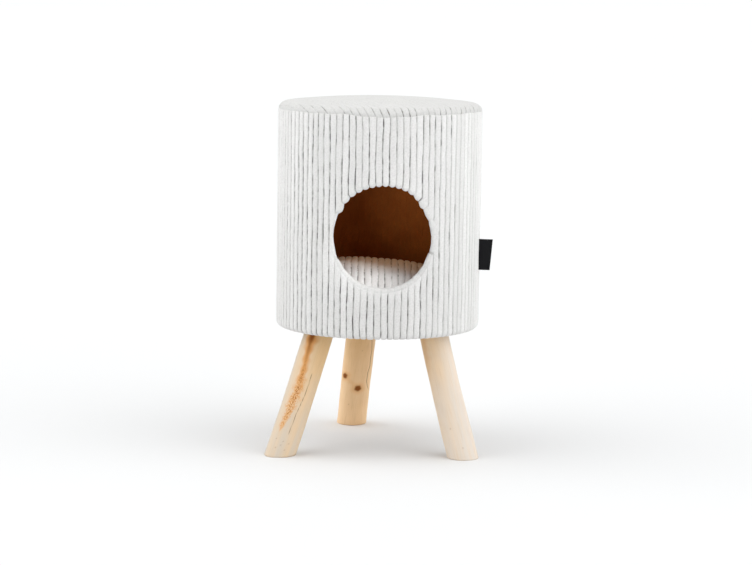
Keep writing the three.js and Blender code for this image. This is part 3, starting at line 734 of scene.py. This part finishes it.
def log_leg(name, material):
    """A leaning peeled log with its streak, crack and knots, cut level at both ends."""
    leg = LEGS[name]
    foot = np.array(leg["foot"]) * MM
    drift = foot * (leg["top_share"] - 1) / DRUM_BOTTOM
    stretch = math.hypot(1, *drift)
    lean = math.atan2(foot[1], foot[0])
    z = np.concatenate([[0], np.linspace(LEG_CHAMFER, LEG_TOP, LEG_ROWS)])[:, None]
    turn = np.linspace(-math.pi, math.pi, LEG_SIDES, endpoint=False)
    share = z / LEG_TOP
    local_turn = turn - QUARTER_TURN - lean
    radius = (leg["foot_width"] + (leg["top_width"] - leg["foot_width"]) * share) / 2 * MM
    *wave_phases, streak_phase = rng.uniform(0, FULL_TURN, len(LOG_WAVES) + 1)
    marks = log_marks(leg, 1 - z / DRUM_BOTTOM, turn, radius, DRUM_BOTTOM * stretch, streak_phase)
    swing, around, along = LOG_LOBES
    uneven = 1 + swing * np.sin(around * local_turn + along * share)
    for (swing, around, along), phase in zip(LOG_WAVES, wave_phases):
        uneven = uneven + swing * np.sin(around * turn + along * share + phase)
    radius = radius * uneven - CRACK_DEPTH * marks["crack"] + KNOT_RISE * marks["knot"]
    radius[0] -= LEG_CHAMFER
    height = np.broadcast_to(z, radius.shape)
    x = radius * stretch * np.cos(local_turn)
    y = radius * np.sin(local_turn) + leg["bow"] * MM * np.sin(math.pi * share)
    points = np.stack([foot[0] + drift[0] * z + x * math.cos(lean) - y * math.sin(lean),
                       foot[1] + drift[1] * z + x * math.sin(lean) + y * math.cos(lean), height], -1)
    grain = np.stack([x / stretch + leg["grain_shift"], y, height * stretch], -1)
    ids = np.arange(radius.size).reshape(radius.shape)
    faces = face_list(ids, wrap=True) + [tuple(ids[0, ::-1]), tuple(ids[-1])]
    marks = {label: values.ravel() for label, values in marks.items()}
    marks["grain"] = grain.reshape(-1, 3)
    piece = make_piece(name + "_log", points.reshape(-1, 3), faces, material, marks)
    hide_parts(name)


# Label
def flag_label(material):
    """A ribbon folded once, both ends held in the side seam, bare on both faces."""
    straight = np.linspace(0, 1, LABEL_STEPS)
    bend = np.linspace(-QUARTER_TURN, QUARTER_TURN, LABEL_STEPS)[1:-1]
    turn = GROOVE_TURN + LABEL_GROOVE * FULL_TURN / RIB_COUNT
    rows = []
    for share in np.linspace(0, 1, LABEL_ROWS):
        reach = LABEL["reach_bottom"] + (LABEL["reach_top"] - LABEL["reach_bottom"]) * share
        run = (reach - LABEL_HALF) * straight
        sway = LABEL_SWAY * math.sin(LABEL_TWIST[0] * share + LABEL_TWIST[1])
        loops = []
        for half in (LABEL_HALF, LABEL_HALF - LABEL_CLOTH):
            out = np.concatenate([run, run[-1] + half * np.cos(bend), run[::-1]])
            side = np.concatenate([-half + 0 * run, half * np.sin(bend), half + 0 * run])
            loops.append((out, side + sway * (out / reach) ** 2))
        out = np.concatenate([loops[0][0], loops[1][0][::-1]])
        side = np.concatenate([loops[0][1], loops[1][1][::-1]])
        radius = LABEL["root"] + out
        x = radius * math.sin(turn) + side * math.cos(turn)
        y = -radius * math.cos(turn) + side * math.sin(turn)
        rows.append(np.stack([x, y, np.full(len(x), LABEL["low"] + LABEL["height"] * share)], -1))
    points = np.concatenate(rows)
    ids = np.arange(len(points)).reshape(len(rows), -1)
    faces = face_list(ids, wrap=True)
    half_count = ids.shape[1] // 2
    for row, order in ((ids[0], -1), (ids[-1], 1)):
        outer, inner = row[:half_count], row[half_count:][::-1]
        faces += face_list(np.stack([outer, inner])[::order])
    piece = make_piece("label_ribbon", points, faces, material)
    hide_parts("label")


# Material helpers
def new_material(name, shader_values):
    """A node material, its tree and its shader, with the values that are the same all over the surface."""
    material = bpy.data.materials.new(name)
    material.use_nodes = True
    shader = material.node_tree.nodes["Principled BSDF"]
    for socket, value in shader_values.items():
        shader.inputs[socket].default_value = value
    return material, material.node_tree, shader


def add_node(tree, kind, inputs=None, **settings):
    """A node with its settings, and its inputs set to numbers or linked to other nodes' outputs."""
    node = tree.nodes.new(kind)
    for name, value in settings.items():
        setattr(node, name, value)
    for socket, value in (inputs or {}).items():
        if isinstance(value, bpy.types.NodeSocket):
            tree.links.new(value, node.inputs[socket])
        else:
            node.inputs[socket].default_value = value
    return node


def calculate(tree, operation, *values):
    """A sum or product of numbers and other nodes' outputs."""
    return add_node(tree, "ShaderNodeMath", dict(enumerate(values)), operation=operation).outputs[0]


def blend(tree, factor, first, second, kind="MIX"):
    """A colour between two, or one worked on by the other."""
    first, second = ((*colour, 1) if isinstance(colour, tuple) else colour for colour in (first, second))
    inputs = {0: factor, 6: first, 7: second}
    return add_node(tree, "ShaderNodeMix", inputs, data_type="RGBA", blend_type=kind).outputs[2]


def noise(tree, where, scale, detail=3.0, rough=0.55):
    """Soft random values, at so many lumps in a metre."""
    inputs = {"Vector": where, "Scale": scale, "Detail": detail, "Roughness": rough}
    return add_node(tree, "ShaderNodeTexNoise", inputs).outputs["Fac"]


def spread(tree, value, low, high, to_low=0.0, to_high=1.0):
    """A value moved from one range to another, and kept inside it."""
    inputs = {"Value": value, "From Min": low, "From Max": high, "To Min": to_low, "To Max": to_high}
    return add_node(tree, "ShaderNodeMapRange", inputs).outputs["Result"]


def mark(tree, name, output="Fac"):
    """The marks of this name at a piece's points."""
    return add_node(tree, "ShaderNodeAttribute", attribute_name=name).outputs[output]


def object_place(tree):
    """The place on the object, in metres."""
    return add_node(tree, "ShaderNodeTexCoord").outputs["Object"]


def drawn_out(tree, where, share):
    """Places whose steps along the log shrink to this share, which draws a pattern out."""
    return add_node(tree, "ShaderNodeMapping", {"Vector": where, "Scale": (1, 1, share)}).outputs["Vector"]


def add_bump(tree, shader, height, strength, distance):
    """A fine relief on the shader's normal."""
    bump = add_node(tree, "ShaderNodeBump", {"Height": height, "Strength": strength, "Distance": distance})
    tree.links.new(bump.outputs["Normal"], shader.inputs["Normal"])


# Materials
def corduroy_material():
    """Off-white plush pile on wide ribs, with painted shade in the grooves, darker and a little warmer, and
    painted shade in its tones.
    """
    values = {"Roughness": 0.95, "Specular IOR Level": 0.1, "Sheen Weight": 0.2, "Sheen Roughness": 0.5}
    material, tree, shader = new_material("corduroy_plush", values)
    where = object_place(tree)
    pile = noise(tree, where, 1500, 2)
    tufts = noise(tree, where, 360, 3)
    patches = noise(tree, where, 26, 2)
    colour = blend(tree, spread(tree, patches, 0.3, 0.7), PLUSH["pale"], PLUSH["dull"])
    colour = blend(tree, spread(tree, tufts, 0.42, 0.66, 0, 0.7), colour, PLUSH["tuft"])
    # tone: a random tone per rib, with painted shade on the lower wall, the entrance's lower lip, the top
    # panel and the cushion.
    tone = spread(tree, mark(tree, "tone"), *TONE_RANGE)
    colour = blend(tree, tone, colour, PLUSH["tone"], "MULTIPLY")
    # Painted shade in the grooves, broken up by noise.
    broken = spread(tree, noise(tree, where, 85, 3), 0.37, 0.63, 0.3, 1.5)
    sunk = calculate(tree, "MULTIPLY", mark(tree, "sunk"), broken)
    colour = blend(tree, spread(tree, sunk, 0.12, 0.95), colour, PLUSH["groove"])
    tree.links.new(colour, shader.inputs["Base Color"])
    add_bump(tree, shader, calculate(tree, "ADD", pile, tufts), 0.55, 0.9 * MM)
    return material


def board_material(name, light, dark):
    """Plain brown pressed board with a fine fibre."""
    material, tree, shader = new_material(name, {"Roughness": 0.8, "Specular IOR Level": 0.1})
    where = object_place(tree)
    fibre = noise(tree, where, 420, 4)
    clouds = noise(tree, where, 22, 3)
    middle = tuple(0.4 * a + 0.6 * b for a, b in zip(light, dark))
    colour = blend(tree, spread(tree, clouds, 0.3, 0.7), light, middle)
    colour = blend(tree, spread(tree, fibre, 0.4, 0.8, 0, 0.5), colour, dark)
    tree.links.new(colour, shader.inputs["Base Color"])
    add_bump(tree, shader, fibre, 0.2, 0.3 * MM)
    return material


def wood_material(name, pale, tan):
    """Peeled, sanded pine: long grain, resin streaks, knots and drying cracks."""
    material, tree, shader = new_material(name, {"Specular IOR Level": 0.15})
    where = mark(tree, "grain", "Vector")
    long_place = drawn_out(tree, where, 0.045)
    broad = noise(tree, long_place, 70, 3)
    fine = noise(tree, long_place, 620, 3)
    clouds = noise(tree, where, 16, 2)
    # tan_and_shade: the darker tan wood, with painted shade under the drum.
    colour = blend(tree, mark(tree, "tan_and_shade"), pale, tan)
    colour = blend(tree, spread(tree, broad, 0.35, 0.68, 0, 0.4), colour, tan)
    colour = blend(tree, spread(tree, clouds, 0.4, 0.7, 0, 0.3), colour, pale)
    darker = tuple(0.72 * part for part in tan)
    colour = blend(tree, spread(tree, fine, 0.5, 0.75, 0, 0.28), colour, darker)
    specks = noise(tree, drawn_out(tree, where, 0.4), 750, 3, 0.6)
    less = spread(tree, specks, 0.44, 0.56, -1.0, 0.1)
    kept = calculate(tree, "MULTIPLY_ADD", mark(tree, "fleck"), less, 1.0)
    stain = calculate(tree, "MULTIPLY", mark(tree, "stain"), kept)
    colour = blend(tree, spread(tree, mark(tree, "stain"), 0.15, 1.1, 0, 0.5), colour, RESIN["haze"])
    colour = blend(tree, spread(tree, stain, 0.05, 0.65, 0, 0.8), colour, RESIN["fleck"])
    colour = blend(tree, spread(tree, stain, 0.72, 1.3), colour, RESIN["core"])
    colour = blend(tree, mark(tree, "knot"), colour, KNOT_COLOUR)
    colour = blend(tree, spread(tree, mark(tree, "crack"), 0.2, 0.9, 0, 0.8), colour, CRACK_COLOUR)
    tree.links.new(colour, shader.inputs["Base Color"])
    tree.links.new(spread(tree, fine, 0.3, 0.7, 0.55, 0.7), shader.inputs["Roughness"])
    add_bump(tree, shader, fine, 0.15, 0.3 * MM)
    return material


def ribbon_material():
    """Black woven ribbon, with its threads as a fine check."""
    values = {"Roughness": 0.75, "Specular IOR Level": 0.12}
    material, tree, shader = new_material("ribbon_black", values)
    inputs = {"Vector": object_place(tree), "Scale": 260}
    warp = add_node(tree, "ShaderNodeTexWave", inputs, bands_direction="Z").outputs["Fac"]
    weft = add_node(tree, "ShaderNodeTexWave", inputs, bands_direction="X").outputs["Fac"]
    threads = calculate(tree, "MULTIPLY", warp, weft)
    colour = blend(tree, threads, RIBBON["gap"], RIBBON["thread"])
    tree.links.new(colour, shader.inputs["Base Color"])
    add_bump(tree, shader, threads, 0.3, 0.2 * MM)
    return material


# Stage
def direction(azimuth, elevation):
    """A direction from degrees off the front towards +X and degrees up."""
    azimuth, elevation = math.radians(azimuth), math.radians(elevation)
    level = math.cos(elevation)
    return Vector((level * math.sin(azimuth), -level * math.cos(azimuth), math.sin(elevation)))


def add_spot(name, spot):
    """A lamp of the table, placed round the drum's axis and turned to its target."""
    data = bpy.data.lights.new(name, "SPOT")
    data.energy = spot["watts"]
    data.color = spot["colour"]
    data.spot_size = math.radians(spot["cone"])
    data.spot_blend = spot["soft_share"]
    data.shadow_soft_size = spot["softness"]
    lamp = bpy.data.objects.new(name, data)
    lamp.location = Vector(AXIS) + Vector(spot["place"])
    way = Vector(spot["target"]) - Vector(spot["place"])
    lamp.rotation_euler = way.to_track_quat("-Z", "Y").to_euler()
    bpy.context.scene.collection.objects.link(lamp)


def studio_sky():
    """A white surround with bright patches at both sides and a dim one behind the camera."""
    world = bpy.data.worlds.new("studio")
    bpy.context.scene.world = world
    world.use_nodes = True
    tree = world.node_tree
    way = add_node(tree, "ShaderNodeTexCoord").outputs["Generated"]
    strength = SKY
    for azimuth, elevation, inner, outer, patch in SKY_PATCHES.values():
        inputs = {0: way, 1: tuple(direction(azimuth, elevation))}
        facing = add_node(tree, "ShaderNodeVectorMath", inputs, operation="DOT_PRODUCT").outputs["Value"]
        share = spread(tree, facing, math.cos(math.radians(outer)), math.cos(math.radians(inner)), 0, patch)
        strength = calculate(tree, "ADD", strength, share)
    background = tree.nodes["Background"]
    background.inputs["Color"].default_value = (1, 1, 1, 1)
    tree.links.new(strength, background.inputs["Strength"])


def floor_and_light():
    """A plain pale floor under the sky and the lamps."""
    bpy.ops.mesh.primitive_plane_add(size=FLOOR_SIZE)
    floor = bpy.context.object
    floor.name = "floor"
    material, _, _ = new_material("floor_white", {"Base Color": FLOOR_COLOUR, "Roughness": 0.9})
    floor.data.materials.append(material)
    studio_sky()
    for name, spot in SPOTS.items():
        add_spot(name, spot)
    bpy.context.scene.view_settings.view_transform = "Standard"


def camera():
    """The photograph's view, with its yaw, pitch and roll."""
    level = math.cos(CAMERA_PITCH)
    forward = Vector((math.sin(CAMERA_YAW) * level, math.cos(CAMERA_YAW) * level, -math.sin(CAMERA_PITCH)))
    across = Vector((math.cos(CAMERA_YAW), -math.sin(CAMERA_YAW), 0))
    upright = across.cross(forward)
    right = across * math.cos(CAMERA_ROLL) + upright * math.sin(CAMERA_ROLL)
    up = upright * math.cos(CAMERA_ROLL) - across * math.sin(CAMERA_ROLL)
    data = bpy.data.cameras.new("camera")
    data.sensor_width = SENSOR
    data.lens = FOCAL_PIXELS * SENSOR / FRAME_WIDTH
    data.clip_end = VIEW_END
    viewer = bpy.data.objects.new("camera", data)
    bpy.context.scene.collection.objects.link(viewer)
    turn = Matrix((right, up, -forward)).transposed().to_4x4()
    viewer.matrix_world = Matrix.Translation(Vector(CAMERA_FROM_AXIS) + Vector(AXIS)) @ turn
    bpy.context.scene.camera = viewer


def dress_boards(wall_board, floor_board):
    """The boards keep their solids, smoothed over the bent wall."""
    boards = {"shell_wall": wall_board, "shell_ceiling": wall_board, "shell_floor": floor_board}
    for name, material in boards.items():
        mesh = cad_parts[name].data
        mesh.shade_smooth()
        mesh.set_sharp_from_angle(angle=math.radians(30))
        mesh.materials.clear()
        mesh.materials.append(material)


camera()
floor_and_light()
plush = corduroy_material()
side_cover(plush)
top_cover(plush)
cushion(plush)
dress_boards(board_material("board_brown", **BROWN_BOARD), board_material("board_dark", **DARK_BOARD))
for leg_name, pine in PINE.items():
    log_leg(leg_name, wood_material(**pine))
flag_label(ribbon_material())
